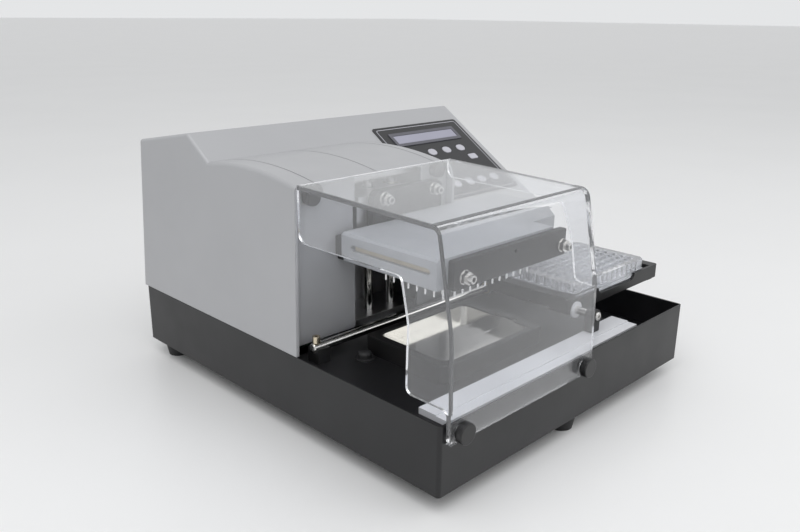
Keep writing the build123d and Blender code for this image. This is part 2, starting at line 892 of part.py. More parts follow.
# Rocker switch: its frame and the rocker, which rests tilted to one side
with BuildPart() as switch_frame:
    with BuildSketch(back_plane):
        with Locations((switch_u, switch_v)):
            Rectangle(switch_w + 4, switch_h + 4)
    extrude(amount=1.6)
    with BuildSketch(back_plane):
        with Locations((switch_u, switch_v)):
            Rectangle(switch_w, switch_h)
    extrude(amount=-14)
    with BuildSketch(back_plane.offset(1.6)):
        with Locations((switch_u, switch_v)):
            Rectangle(switch_w - 3, switch_h - 3)
    extrude(amount=-12, mode=Mode.SUBTRACT)
switch_frame.part.label = "switch_frame"
export_step(switch_frame.part, "parts/switch_frame.step")

rocker_w = switch_w - 4
rocker_h = switch_h - 6
rocker_deep = 5.0
with BuildPart() as switch_rocker:
    rocker_plane = Plane(
        origin=back_plane.from_local_coords((switch_u - rocker_w / 2, switch_v, 0)),
        x_dir=back_plane.y_dir.rotate(Axis((0, 0, 0), back_plane.x_dir), switch_tilt),
        z_dir=back_plane.x_dir,
    )
    with BuildSketch(rocker_plane):
        with BuildLine():
            Polyline(
                (-rocker_h / 2, 3.6),
                (0, 1.8),
                (rocker_h / 2, 3.6),
                (rocker_h / 2 - 1, -rocker_deep / 2),
                (0, -rocker_deep),
                (-rocker_h / 2 + 1, -rocker_deep / 2),
                close=True,
            )
        make_face()
    extrude(amount=rocker_w)
switch_rocker.part.label = "switch_rocker"
export_step(switch_rocker.part, "parts/switch_rocker.step")

# Nine-pin serial port with two hex posts
with BuildPart() as serial_port:
    with BuildSketch(back_plane):
        with Locations((serial_u, serial_v)):
            RectangleRounded(serial_w, serial_h, 1)
    extrude(amount=1.0)
    with BuildSketch(back_plane.offset(1.0)):
        with Locations((serial_u, serial_v)):
            Trapezoid(17, 8.5, 80, rotation=180)
    extrude(amount=5.0)
    with BuildSketch(back_plane.offset(1.0)):
        with Locations((serial_u - 12.5, serial_v), (serial_u + 12.5, serial_v)):
            RegularPolygon(2.5, 6)
    extrude(amount=4.5)
    with BuildSketch(back_plane):
        with Locations((serial_u, serial_v)):
            Rectangle(serial_w - 9, serial_h - 3)
    extrude(amount=-8)
serial_port.part.label = "serial_port"
export_step(serial_port.part, "parts/serial_port.step")

# Three hose barbs with their nuts
with BuildPart() as hose_barbs:
    for u in barb_u:
        with BuildSketch(back_plane):
            with Locations((u, barb_v)):
                RegularPolygon(barb_nut / 2, 6, major_radius=False)
        extrude(amount=5)
        with BuildSketch(back_plane.offset(-8)):
            with Locations((u, barb_v)):
                Circle(barb_d / 2)
        extrude(amount=8 + barb_l)
        for ridge in range(2):
            with BuildSketch(back_plane.offset(barb_l - 5 - 5 * ridge)):
                with Locations((u, barb_v)):
                    Circle(barb_d / 2 + 1)
            extrude(amount=4, taper=14)
        with BuildSketch(back_plane.offset(-8)):
            with Locations((u, barb_v)):
                Circle(barb_bore / 2)
        extrude(amount=8 + barb_l, mode=Mode.SUBTRACT)
hose_barbs.part.label = "hose_barbs"
export_step(hose_barbs.part, "parts/hose_barbs.step")

# Lift column: an upright with two lugs that hold the shafts
shaft_places = [(lift_x - shaft_gap / 2, lift_y), (lift_x + shaft_gap / 2, lift_y)]
column_x = lift_x - column_w / 2
lug_y = column_y + column_t - lug_d
with BuildPart() as lift_column:
    block(column_x, column_y, pan_floor, column_w, column_t, column_top - pan_floor)
    block(column_x, column_y, pan_floor, column_w, column_foot_d, column_t)
    for z in [low_lug_z, column_top - lug_t]:
        block(column_x, lug_y, z, column_w, lug_d, lug_t)
    with BuildSketch(level(low_lug_z)):
        with Locations(*shaft_places):
            Circle(shaft_d / 2 + fit)
        with Locations((lift_x, lift_y)):
            Circle(screw_d / 2 + run)
    extrude(amount=column_top - low_lug_z, mode=Mode.SUBTRACT)
lift_column.part.label = "lift_column"
export_step(lift_column.part, "parts/lift_column.step")

# Two ground shafts between the lugs
with BuildPart() as lift_shafts:
    with BuildSketch(level(low_lug_z)):
        with Locations(*shaft_places):
            Circle(shaft_d / 2)
    extrude(amount=column_top - low_lug_z)
lift_shafts.part.label = "lift_shafts"
export_step(lift_shafts.part, "parts/lift_shafts.step")

# Lift motor, hung under the lower lug
with BuildPart() as lift_motor:
    with BuildSketch(level(low_lug_z - motor_h)):
        with Locations((lift_x, lift_y)):
            Rectangle(motor_w, motor_w)
    extrude(amount=motor_h)
    chamfer(lift_motor.edges().filter_by(Axis.Z), motor_corner_r)
    motor_bore = screw_d + 2 * run
    rod_along((0, 0, -1), (lift_x, lift_y, low_lug_z), motor_bore, motor_h - motor_corner_r, Mode.SUBTRACT)
lift_motor.part.label = "lift_motor"
export_step(lift_motor.part, "parts/lift_motor.step")

# Lead screw, from inside the motor up through the top lug
lead_foot = low_lug_z - motor_h + motor_corner_r + seat
with BuildPart() as lead_screw:
    rod_along((0, 0, 1), (lift_x, lift_y, lead_foot), screw_d, column_top - lead_foot)
    chamfer(lead_screw.edges().group_by(Axis.Z)[-1], 1)
lead_screw.part.label = "lead_screw"
export_step(lead_screw.part, "parts/lead_screw.step")

# Lift carriage, with its bushings and nut
carriage_x = lift_x - carriage_w / 2
with BuildPart() as lift_carriage:
    block(carriage_x, carriage_y, carriage_z, carriage_w, carriage_d, carriage_h)
    chamfer(lift_carriage.edges().filter_by(Axis.Z).group_by(Axis.Y)[-1], 4)
    with BuildSketch(level(carriage_z)):
        with Locations(*shaft_places):
            Circle(bush_d / 2 + fit)
        with Locations((lift_x, lift_y)):
            Circle(nut_d / 2 + fit)
    extrude(amount=carriage_h, mode=Mode.SUBTRACT)
lift_carriage.part.label = "lift_carriage"
export_step(lift_carriage.part, "parts/lift_carriage.step")

with BuildPart() as lift_bushings:
    with BuildSketch(level(carriage_z)):
        with Locations(*shaft_places):
            Circle(bush_d / 2)
            Circle(shaft_d / 2 + run, mode=Mode.SUBTRACT)
    extrude(amount=carriage_h)
lift_bushings.part.label = "lift_bushings"
export_step(lift_bushings.part, "parts/lift_bushings.step")

with BuildPart() as lift_nut:
    with BuildSketch(level(carriage_z - nut_flange_t)):
        with Locations((lift_x, lift_y)):
            Circle(nut_flange_d / 2)
    extrude(amount=nut_flange_t)
    with BuildSketch(level(carriage_z)):
        with Locations((lift_x, lift_y)):
            Circle(nut_d / 2)
    extrude(amount=carriage_h / 2)
    nut_bore = screw_d + 2 * screw_lead_gap
    rod_along((0, 0, 1), (lift_x, lift_y, carriage_z - nut_flange_t), nut_bore, carriage_h, Mode.SUBTRACT)
lift_nut.part.label = "lift_nut"
export_step(lift_nut.part, "parts/lift_nut.step")

# Black saddle plate between the carriage and the manifold
saddle_t = carriage_y - body_rear
with BuildPart() as manifold_saddle:
    block(saddle_x, body_rear, saddle_z, saddle_w, saddle_t, saddle_h)
    block(saddle_neck_x, body_rear, saddle_z, saddle_neck_w, saddle_t, saddle_neck_top - saddle_z)
    chamfer(manifold_saddle.edges().filter_by(Axis.Y).group_by(Axis.Z)[-1], 4)
    for x in line_x:
        rod_along((0, 1, 0), (x, body_rear, line_z), barrel_d, saddle_t, Mode.SUBTRACT)
manifold_saddle.part.label = "manifold_saddle"
export_step(manifold_saddle.part, "parts/manifold_saddle.step")


hex_face = RegularPolygon(hex_across / 2, 6, major_radius=False)


def bright_fitting(x, y, z, stem):
    """A washer, a hex nut and an open barrel that point to the front from depth y."""
    nut_y = y - washer_t
    barrel_y = nut_y - hex_t
    tip_y = barrel_y - barrel_l
    nut_plane = Plane(origin=(x, nut_y, z), z_dir=(0, -1, 0))
    nut = nut_plane * hex_face
    rod_along((0, -1, 0), (x, y, z), washer_d, washer_t)
    extrude(nut, amount=hex_t)
    rod_along((0, -1, 0), (x, barrel_y, z), barrel_d, barrel_l)
    rod_along((0, 1, 0), (x, y, z), barrel_d - 2 * seat, stem)
    rod_along((0, 1, 0), (x, tip_y, z), barrel_bore, barrel_l + hex_t, Mode.SUBTRACT)


# Fluid line fittings on the saddle
with BuildPart() as line_fittings:
    for x in line_x:
        bright_fitting(x, body_rear, line_z, saddle_t)
line_fittings.part.label = "line_fittings"
export_step(line_fittings.part, "parts/line_fittings.step")

# Manifold casting: a deep block with a thin wing on the right
pocket_w = (well_columns - 1) * well_pitch + 2 * tube_plate_margin
pocket_d = (well_rows - 1) * well_pitch + 2 * tube_plate_margin
with BuildPart() as manifold_body:
    with BuildSketch(level(body_top - wing_t)):
        with BuildLine():
            Polyline(
                (body_x, body_y),
                (body_x + body_w, body_y),
                (body_x + body_w, wing_y),
                (wing_x, wing_y),
                (wing_end_x, wing_corner_y),
                (wing_end_x, body_rear),
                (body_x, body_rear),
                close=True,
            )
        make_face()
    extrude(amount=wing_t)
    block(body_x, body_y, body_z, body_w, body_rear - body_y, body_top - body_z)
    long_edge = manifold_body.edges().filter_by(Axis.Y).sort_by(Axis.X)[0:2].sort_by(Axis.Z)[-1]
    chamfer(long_edge, body_edge_r)
    with BuildSketch(along(body_x)):
        with Locations((slot_y + slot_l / 2, slot_z)):
            SlotOverall(slot_l, slot_h)
    extrude(amount=slot_depth, mode=Mode.SUBTRACT)
    with BuildSketch(level(body_z)):
        with Locations((wash_x, wash_y)):
            Rectangle(pocket_w + 2 * seat, pocket_d + 2 * seat)
    extrude(amount=tube_plate_t + seat, mode=Mode.SUBTRACT)
    for x in bolt_x[0:1]:
        rod_along((0, 1, 0), (x, body_y, bolt_z), barrel_d, 2 * plate_t, Mode.SUBTRACT)
manifold_body.part.label = "manifold_body"
export_step(manifold_body.part, "parts/manifold_body.step")

# Bar in the slot on the manifold's left face
with BuildPart() as slot_bar:
    with BuildSketch(along(body_x + slot_depth - bar_t)):
        with Locations((slot_y + slot_l / 2, slot_z)):
            Rectangle(slot_l - slot_h, slot_h - 2 * seat)
    extrude(amount=bar_t)
slot_bar.part.label = "slot_bar"
export_step(slot_bar.part, "parts/slot_bar.step")

# Black plate across the manifold's front
with BuildPart() as manifold_front_plate:
    block(plate_x, body_y - plate_t, plate_z, plate_w, plate_t, plate_h)
    chamfer(manifold_front_plate.edges().filter_by(Axis.Y), 1)
    for x in bolt_x:
        rod_along((0, -1, 0), (x, body_y, bolt_z), barrel_d, plate_t, Mode.SUBTRACT)
    hole_z = plate_z + plate_h - 2 * plate_hole_d
    rod_along((0, -1, 0), (plate_hole_x, body_y, hole_z), plate_hole_d, plate_t, Mode.SUBTRACT)
manifold_front_plate.part.label = "manifold_front_plate"
export_step(manifold_front_plate.part, "parts/manifold_front_plate.step")

with BuildPart() as manifold_bolts:
    for x, stem in zip(bolt_x, [2 * plate_t, plate_t]):
        bright_fitting(x, body_y - plate_t, bolt_z, stem)
manifold_bolts.part.label = "manifold_bolts"
export_step(manifold_bolts.part, "parts/manifold_bolts.step")

# Tube plate: twelve columns of eight thin tubes
with BuildPart() as tube_plate:
    with BuildSketch(level(body_z)):
        with Locations((wash_x, wash_y)):
            Rectangle(pocket_w, pocket_d)
    extrude(amount=tube_plate_t)
    with BuildSketch(level(body_z)):
        with Locations((wash_x, wash_y)):
            with GridLocations(well_pitch, well_pitch, well_columns, well_rows):
                RegularPolygon(tube_d / 2, tube_sides)
    extrude(amount=-tube_l)
tube_plate.part.label = "tube_plate"
export_step(tube_plate.part, "parts/tube_plate.step")

# Plate carrier: a frame with a ledge, a finger gap and two sleeves on the rod
carrier_back = carrier_y + carrier_d
pocket_front = wash_y - skirt_d / 2 - pocket_gap
pocket_back = wash_y + skirt_d / 2 + pocket_gap
pocket_left = plate_mid_x - skirt_w / 2 - pocket_gap
plate_right = plate_mid_x + skirt_w / 2 + pocket_gap
with BuildPart() as plate_carrier:
    with BuildSketch(level(carrier_z)):
        with Locations((carrier_x + carrier_w / 2, carrier_y + carrier_d / 2)):
            RectangleRounded(carrier_w, carrier_d, carrier_r)
    extrude(amount=carrier_top - carrier_z)
    heel_x = carrier_x + carrier_w - carrier_heel_w
    heel_drop = carrier_heel_drop
    block(heel_x, carrier_y + carrier_r, carrier_z - heel_drop,
          carrier_heel_w - carrier_r, carrier_d - 2 * carrier_r, heel_drop)
    block(pocket_left, pocket_front, ledge_z, pocket_end - pocket_left, pocket_back - pocket_front,
          carrier_top - ledge_z, Mode.SUBTRACT)
    block(pocket_left + ledge_w, pocket_front + ledge_w, carrier_z,
          plate_right - pocket_left - 2 * ledge_w, pocket_back - pocket_front - 2 * ledge_w,
          carrier_top - carrier_z, Mode.SUBTRACT)
    with BuildSketch(across(pocket_front + wall)):
        with Locations((finger_x + finger_w / 2, carrier_top)):
            RectangleRounded(finger_w, 2 * finger_depth, finger_depth - seat)
    extrude(amount=2 * wall + seat, mode=Mode.SUBTRACT)
    for x in boss_x:
        block(x, carrier_back - wall, boss_web_z, boss_l, rod_y - carrier_back + wall, boss_web_t)
        rod_along((1, 0, 0), (x, rod_y, rod_z), boss_d, boss_l)
    rod_along((1, 0, 0), (carrier_x, rod_y, rod_z), slider_bush_d + 2 * fit, carrier_w, Mode.SUBTRACT)
    rod_along((0, 1, 0), (pin_x, carrier_y, pin_z), pin_stud_d + 2 * fit, 2 * pin_d, Mode.SUBTRACT)
plate_carrier.part.label = "plate_carrier"
export_step(plate_carrier.part, "parts/plate_carrier.step")

with BuildPart() as carrier_bushings:
    for x in boss_x:
        rod_along((1, 0, 0), (x, rod_y, rod_z), slider_bush_d, boss_l)
    rod_along((1, 0, 0), (carrier_x, rod_y, rod_z), rod_d + 2 * run, carrier_w, Mode.SUBTRACT)
carrier_bushings.part.label = "carrier_bushings"
export_step(carrier_bushings.part, "parts/carrier_bushings.step")

# Outrigger: a washer, a pin and the shoe that slides on the wear strip
with BuildPart() as outrigger_washer:
    rod_along((0, -1, 0), (pin_x, carrier_y, pin_z), disc_d, disc_t)
    rod_along((0, -1, 0), (pin_x, carrier_y, pin_z), pin_stud_d + 2 * fit, disc_t, Mode.SUBTRACT)
outrigger_washer.part.label = "outrigger_washer"
export_step(outrigger_washer.part, "parts/outrigger_washer.step")

pin_start = carrier_y - disc_t
pin_length = pin_start - shoe_y
with BuildPart() as outrigger_pin:
    rod_along((0, -1, 0), (pin_x, pin_start, pin_z), pin_d, pin_length)
    rod_along((0, 1, 0), (pin_x, pin_start, pin_z), pin_stud_d, disc_t + pin_d)
    rod_along((0, 1, 0), (pin_x, shoe_y, pin_z), rod_screw_d + 2 * fit, shoe_d, Mode.SUBTRACT)
outrigger_pin.part.label = "outrigger_pin"
export_step(outrigger_pin.part, "parts/outrigger_pin.step")

shoe_z = strip_z + run
with BuildPart() as slide_shoe:
    with BuildSketch(across(shoe_y + shoe_d)):
        with Locations((pin_x, (shoe_z + shoe_top) / 2)):
            Rectangle(shoe_w, shoe_top - shoe_z)
    extrude(amount=shoe_d)
    fillet(slide_shoe.edges().filter_by(Axis.Y).group_by(Axis.Z)[-1], shoe_round)
    fillet(slide_shoe.edges().filter_by(Axis.Y).group_by(Axis.Z)[0], 1)
    rod_along((0, 1, 0), (pin_x, shoe_y, pin_z), pin_d + 2 * fit, shoe_d, Mode.SUBTRACT)
slide_shoe.part.label = "slide_shoe"
export_step(slide_shoe.part, "parts/slide_shoe.step")

with BuildPart() as shoe_screw:
    rod_along((0, -1, 0), (pin_x, shoe_y, pin_z), cap_d, cap_t)
    fillet(shoe_screw.edges().group_by(Axis.Y)[0], 1)
    rod_along((0, 1, 0), (pin_x, shoe_y, pin_z), rod_screw_d, shoe_d - 1)
    with BuildSketch(across(shoe_y - cap_t)):
        with Locations((pin_x, pin_z)):
            RegularPolygon(hex_socket / 2, 6, major_radius=False)
    extrude(amount=-cap_t / 2, mode=Mode.SUBTRACT)
shoe_screw.part.label = "shoe_screw"
export_step(shoe_screw.part, "parts/shoe_screw.step")

# 96-well plate with cut corners on its right
microplate_z = ledge_z + seat
deck_w_top = skirt_w - 2 * skirt_step
deck_d_top = skirt_d - 2 * skirt_step
with BuildPart() as microplate:
    with BuildSketch(level(microplate_z)):
        with Locations((plate_mid_x, wash_y)):
            RectangleRounded(skirt_w, skirt_d, plate_corner_r)
    extrude(amount=skirt_h)
    with BuildSketch(level(microplate_z)) as microplate_deck:
        with Locations((plate_mid_x, wash_y)):
            Rectangle(deck_w_top, deck_d_top)
        chamfer(microplate_deck.vertices().group_by(Axis.X)[-1], plate_notch)
    extrude(amount=plate_total_h)
    with BuildSketch(level(microplate_z + plate_total_h)):
        with Locations((plate_mid_x, wash_y)):
            with GridLocations(well_pitch, well_pitch, well_columns, well_rows):
                RegularPolygon(well_d / 2, well_sides)
    extrude(amount=-well_depth, mode=Mode.SUBTRACT)
microplate.part.label = "microplate"
export_step(microplate.part, "parts/microplate.step")

# Splash shield: a bent sheet with two side panels, cut out for hands and for the carrier
shield_points = [
    (shield_rear, shield_rear_z),
    (shield_bend_y, shield_bend_z),
    (shield_waist_y, shield_waist_z),
    (shield_foot_y, shield_foot_z),
]
shield_radii = [shield_bend_r, shield_waist_r]
shield_inside = shield_foot_y + shield_t
below = shield_foot_z - wall
behind = shield_rear + 2 * cheek_corner_r
left_cut = [
    (behind, left_cheek_z),
    (left_cheek_y, left_cheek_z),
    left_cheek_waist,
    left_cheek_foot,
    (shield_inside, left_cheek_foot[1]),
    (shield_inside, below),
    (behind, below),
]
right_cut = [
    (behind, right_cheek_z),
    (right_cheek_y, right_cheek_z),
    right_cheek_waist,
    right_cheek_foot,
    (shield_inside - wall, right_cheek_foot[1]),
    (shield_inside - wall, below),
    (behind, below),
]
with BuildPart() as splash_shield:
    with BuildSketch(along(shield_x)):
        with BuildLine():
            FilletPolyline(*shield_points, radius=shield_radii)
            offset(amount=shield_t, side=Side.LEFT)
        make_face()
    extrude(amount=shield_w)
    for x, cut in [(shield_x, left_cut), (shield_x + shield_w - shield_t, right_cut)]:
        with BuildSketch(along(x)) as cheek:
            with BuildLine():
                FilletPolyline(*shield_points, radius=shield_radii)
                Polyline(shield_points[-1], (shield_rear, shield_foot_z), shield_points[0])
            make_face()
            with BuildLine():
                FilletPolyline(*cut, radius=cheek_cut_r, close=True)
            make_face(mode=Mode.SUBTRACT)
            fillet(cheek.vertices().sort_by_distance((shield_rear, cut[0][1]))[0], cheek_corner_r)
        extrude(amount=shield_t)
    for x in knob_x:
        block(x - shield_slot_w / 2, shield_foot_y - wall, below,
              shield_slot_w, 2 * wall + shield_t, knob_z - below, Mode.SUBTRACT)
        slot_start = (x, shield_foot_y - wall, knob_z)
        rod_along((0, 1, 0), slot_start, shield_slot_w, 2 * wall + shield_t, Mode.SUBTRACT)
splash_shield.part.label = "splash_shield"
export_step(splash_shield.part, "parts/splash_shield.step")

# Bobbin knobs on the pan's front wall
for name, x in zip(["shield_knob_left", "shield_knob_right"], knob_x):
    with BuildPart() as knob:
        rod_along((0, -1, 0), (x, front - run, knob_z), knob_flange_d, knob_flange_t)
        rod_along((0, -1, 0), (x, front - run, knob_z), knob_neck_d, front - run - knob_head_y)
        rod_along((0, -1, 0), (x, knob_head_y, knob_z), knob_head_d, knob_head_t)
        rims = knob.edges().filter_by(lambda edge: edge.length > 3.1 * (knob_head_d - seat))
        fillet(rims.group_by(Axis.Y)[0] + rims.group_by(Axis.Y)[1], knob_edge)
        rod_along((0, 1, 0), (x, front - run, knob_z), knob_stud_d, knob_stud_l)
    knob.part.label = name
    export_step(knob.part, f"parts/{name}.step")

# Power supply and circuit board on the pan's floor
with BuildPart() as power_supply:
    block(supply_x, supply_y, pan_floor, supply_w, supply_d, supply_h)
    chamfer(power_supply.edges().filter_by(Axis.Z), 2)
power_supply.part.label = "power_supply"
export_step(power_supply.part, "parts/power_supply.step")

with BuildPart() as circuit_board:
    block(board_x, board_y, pan_floor + board_up, board_w, board_d, board_t)
    with BuildSketch(level(pan_floor)):
        with Locations((board_x + board_w / 2, board_y + board_d / 2)):
            with GridLocations(board_w - 2 * board_post_d, board_d - 2 * board_post_d, 2, 2):
                Circle(board_post_d / 2)
    extrude(amount=board_up)
circuit_board.part.label = "circuit_board"
export_step(circuit_board.part, "parts/circuit_board.step")
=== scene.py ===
from math import cos, pi, radians, sin

import bmesh
import bpy
from mathutils import Matrix, Vector


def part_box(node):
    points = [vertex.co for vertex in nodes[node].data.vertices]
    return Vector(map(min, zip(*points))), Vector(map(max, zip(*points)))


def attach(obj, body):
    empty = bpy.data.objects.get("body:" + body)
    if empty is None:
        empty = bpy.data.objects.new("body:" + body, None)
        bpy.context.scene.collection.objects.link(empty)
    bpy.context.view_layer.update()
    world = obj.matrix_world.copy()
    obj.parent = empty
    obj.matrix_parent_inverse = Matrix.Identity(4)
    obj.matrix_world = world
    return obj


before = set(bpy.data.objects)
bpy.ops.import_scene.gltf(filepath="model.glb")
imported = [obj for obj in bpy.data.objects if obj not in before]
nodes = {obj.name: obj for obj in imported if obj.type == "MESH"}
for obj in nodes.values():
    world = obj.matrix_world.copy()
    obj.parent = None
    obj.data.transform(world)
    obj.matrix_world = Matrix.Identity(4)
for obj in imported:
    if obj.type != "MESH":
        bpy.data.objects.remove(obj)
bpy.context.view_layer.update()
MM = 0.001

# Camera, in the part's frame
CAMERA_AT = Vector((-523.4, -328.1, 333.0)) * MM
CAMERA_YAW = radians(45.07)
CAMERA_PITCH = radians(17.73)
CAMERA_ROLL = radians(0.63)
CAMERA_LENS = 35.74
CAMERA_SENSOR = 36.0
CAMERA_CLIP = 0.01

# Tones of the surfaces, as linear colours
SILVER = (0.44, 0.445, 0.46)
# Housing silver darkened to paint in the shade that falls on the recessed front panel; the rear panel
# reuses this darker tone
SILVER_WITH_PAINTED_SHADE = (0.36, 0.365, 0.38)
CASTING = (0.36, 0.37, 0.39)
BLACK_COAT = (0.007, 0.007, 0.008)
BLACK_MOULDED = (0.006, 0.006, 0.0065)
RUBBER_BLACK = (0.010, 0.010, 0.011)
WHITE_STRIP = (0.64, 0.65, 0.68)
KEY_GREY = (0.50, 0.50, 0.55)
BEZEL_GREY = (0.10, 0.10, 0.12)
LCD_TINT = (0.34, 0.34, 0.42)
OVERLAY_BLACK = (0.018, 0.018, 0.020)
STEEL = (0.62, 0.61, 0.59)
LINER_STEEL = (0.66, 0.65, 0.62)
TUBE_STEEL = (0.72, 0.72, 0.72)
ALLOY = (0.6, 0.6, 0.61)
WARM_STEEL = (0.66, 0.58, 0.44)
BRASS = (0.60, 0.46, 0.22)
BOARD_GREEN = (0.02, 0.12, 0.05)
BEIGE = (0.52, 0.47, 0.38)
MOULDED_WHITE = (0.72, 0.72, 0.72)
SHIELD_CLEAR = (0.97, 0.975, 0.99)
PLATE_CLEAR = (0.96, 0.97, 0.99)
HAZE_TONE = (0.9, 0.91, 0.93)
SHADOW_TONE = (0.90, 0.91, 0.93)
FLOOR_TONE = (0.86, 0.865, 0.87)
BACK_TONE = (0.78, 0.79, 0.80)

# Lights and floor
ROOM_STRENGTH = 0.64
LAMP_SIZE = 1.6
KEY_LAMP_AT = (-0.9, -0.3, 1.7)
KEY_LAMP_WATTS = 14
FILL_LAMP_AT = (0.9, -1.2, 1.4)
FILL_LAMP_WATTS = 9
LAMP_TARGET = (0, 0.15, 0.1)
FLOOR_REACH = 30.0

# Noise values between these two count as the whole range
NOISE_LOW = 0.3
NOISE_HIGH = 0.7

# Fine details
WELL_COLUMNS = 12
WELL_ROWS = 8
WELL_PITCH = 9.0 * MM
WELL_RIM_INNER = 3.3 * MM
WELL_RIM_OUTER = 3.9 * MM
WELL_RIM_UP = 0.5 * MM
KEYPAD_SLOPE = radians(33.5)
LINE_INSET = 3.2 * MM
LINE_WIDTH = 0.7 * MM
LINE_UP = 0.08 * MM
LINE_CORNER = 6.0 * MM
CORNER_STEPS = 6
RIM_SIDES = 24


def place_camera():
    """The camera stands where the photograph was taken from."""
    level = Vector((sin(CAMERA_YAW), cos(CAMERA_YAW), 0))
    forward = level * cos(CAMERA_PITCH) - Vector((0, 0, sin(CAMERA_PITCH)))
    right = Vector((cos(CAMERA_YAW), -sin(CAMERA_YAW), 0))
    up = right.cross(forward)
    rolled_right = cos(CAMERA_ROLL) * right + sin(CAMERA_ROLL) * up
    rolled_up = cos(CAMERA_ROLL) * up - sin(CAMERA_ROLL) * right
    data = bpy.data.cameras.new("camera")
    data.lens = CAMERA_LENS
    data.sensor_width = CAMERA_SENSOR
    data.clip_start = CAMERA_CLIP
    camera = bpy.data.objects.new("camera", data)
    turn = Matrix((rolled_right, rolled_up, -forward)).transposed().to_4x4()
    camera.matrix_world = Matrix.Translation(CAMERA_AT) @ turn
    bpy.context.scene.collection.objects.link(camera)
    bpy.context.scene.camera = camera


def soft_lamp(name, at, watts):
    """A square area lamp that points at the machine."""
    data = bpy.data.lights.new(name, "AREA")
    data.shape = "SQUARE"
    data.size = LAMP_SIZE
    data.energy = watts
    lamp = bpy.data.objects.new(name, data)
    lamp.location = at
    aim = Vector(LAMP_TARGET) - Vector(at)
    lamp.rotation_euler = aim.to_track_quat("-Z", "Y").to_euler()
    bpy.context.scene.collection.objects.link(lamp)


def light_world():
    """An even pale surround. The camera, mirrors and clear parts see the plain backdrop tone."""
    world = bpy.data.worlds.new("world")
    bpy.context.scene.world = world
    world.use_nodes = True
    tree = world.node_tree
    tree.nodes.clear()
    output = tree.nodes.new("ShaderNodeOutputWorld")
    mix = tree.nodes.new("ShaderNodeMixShader")
    light = tree.nodes.new("ShaderNodeBackground")
    light.inputs["Color"].default_value = (1, 1, 1, 1)
    light.inputs["Strength"].default_value = ROOM_STRENGTH
    back = tree.nodes.new("ShaderNodeBackground")
    back.inputs["Color"].default_value = (*BACK_TONE, 1)
    path = tree.nodes.new("ShaderNodeLightPath")
    seen = tree.nodes.new("ShaderNodeMath")
    seen.operation = "MAXIMUM"
    seen_any = tree.nodes.new("ShaderNodeMath")
    seen_any.operation = "MAXIMUM"
    tree.links.new(path.outputs["Is Camera Ray"], seen.inputs[0])
    tree.links.new(path.outputs["Is Glossy Ray"], seen.inputs[1])
    tree.links.new(seen.outputs[0], seen_any.inputs[0])
    tree.links.new(path.outputs["Is Transmission Ray"], seen_any.inputs[1])
    tree.links.new(seen_any.outputs[0], mix.inputs[0])
    tree.links.new(light.outputs[0], mix.inputs[1])
    tree.links.new(back.outputs[0], mix.inputs[2])
    tree.links.new(mix.outputs[0], output.inputs["Surface"])


class Surface:
    """A principled material that is put together from a few procedural parts."""

    def __init__(self, name, color, rough, metal=0.0):
        self.material = bpy.data.materials.new(name)
        self.material.use_nodes = True
        self.tree = self.material.node_tree
        self.tree.nodes.clear()
        self.output = self.add("ShaderNodeOutputMaterial")
        self.bsdf = self.add("ShaderNodeBsdfPrincipled")
        self.bsdf.inputs["Base Color"].default_value = (*color, 1)
        self.bsdf.inputs["Roughness"].default_value = rough
        self.bsdf.inputs["Metallic"].default_value = metal
        self.link(self.bsdf.outputs[0], self.output.inputs["Surface"])
        self.color = color
        self.rough = rough
        self.place = self.add("ShaderNodeTexCoord").outputs["Object"]
        self.normal = None

    def add(self, kind):
        return self.tree.nodes.new(kind)

    def link(self, source, target):
        self.tree.links.new(source, target)

    def stretched(self, scale):
        """Object places, scaled per axis."""
        mapping = self.add("ShaderNodeMapping")
        mapping.inputs["Scale"].default_value = scale
        self.link(self.place, mapping.inputs["Vector"])
        return mapping.outputs[0]

    def noise(self, per_metre, detail, place):
        """Noise with so many features in a metre."""
        texture = self.add("ShaderNodeTexNoise")
        texture.inputs["Scale"].default_value = per_metre
        texture.inputs["Detail"].default_value = detail
        self.link(place or self.place, texture.inputs["Vector"])
        return texture.outputs["Fac"]

    def ranged(self, value, low, high):
        """A value spread between low and high."""
        spread = self.add("ShaderNodeMapRange")
        spread.inputs["From Min"].default_value = NOISE_LOW
        spread.inputs["From Max"].default_value = NOISE_HIGH
        spread.inputs["To Min"].default_value = low
        spread.inputs["To Max"].default_value = high
        self.link(value, spread.inputs["Value"])
        return spread.outputs[0]

    def mottle(self, per_metre, amount, place=None):
        """The colour varies a little over the surface."""
        ramp = self.add("ShaderNodeValToRGB")
        ramp.color_ramp.elements[0].position = NOISE_LOW
        ramp.color_ramp.elements[1].position = NOISE_HIGH
        ramp.color_ramp.elements[0].color = (*[c * (1 - amount) for c in self.color], 1)
        ramp.color_ramp.elements[1].color = (*[min(1, c * (1 + amount)) for c in self.color], 1)
        self.link(self.noise(per_metre, 4, place), ramp.inputs["Fac"])
        self.link(ramp.outputs["Color"], self.bsdf.inputs["Base Color"])
        return self

    def scuff(self, per_metre, amount, place=None):
        """The roughness varies a little over the surface."""
        value = self.ranged(self.noise(per_metre, 5, place), self.rough - amount, self.rough + amount)
        self.link(value, self.bsdf.inputs["Roughness"])
        return self

    def soften(self, radius_mm):
        """Rounded look on sharp edges."""
        bevel = self.add("ShaderNodeBevel")
        bevel.samples = 4
        bevel.inputs["Radius"].default_value = radius_mm * MM
        self.normal = bevel.outputs[0]
        self.link(self.normal, self.bsdf.inputs["Normal"])
        return self

    def grain(self, per_metre, depth_mm, strength, place=None):
        """Fine relief from noise."""
        bump = self.add("ShaderNodeBump")
        bump.inputs["Strength"].default_value = strength
        bump.inputs["Distance"].default_value = depth_mm * MM
        self.link(self.noise(per_metre, 2, place), bump.inputs["Height"])
        if self.normal:
            self.link(self.normal, bump.inputs["Normal"])
        self.normal = bump.outputs[0]
        self.link(self.normal, self.bsdf.inputs["Normal"])
        return self

    def setting(self, **values):
        """Plain values on the shader's own sockets."""
        for key, value in values.items():
            self.bsdf.inputs[key.replace("_", " ")].default_value = value
        return self


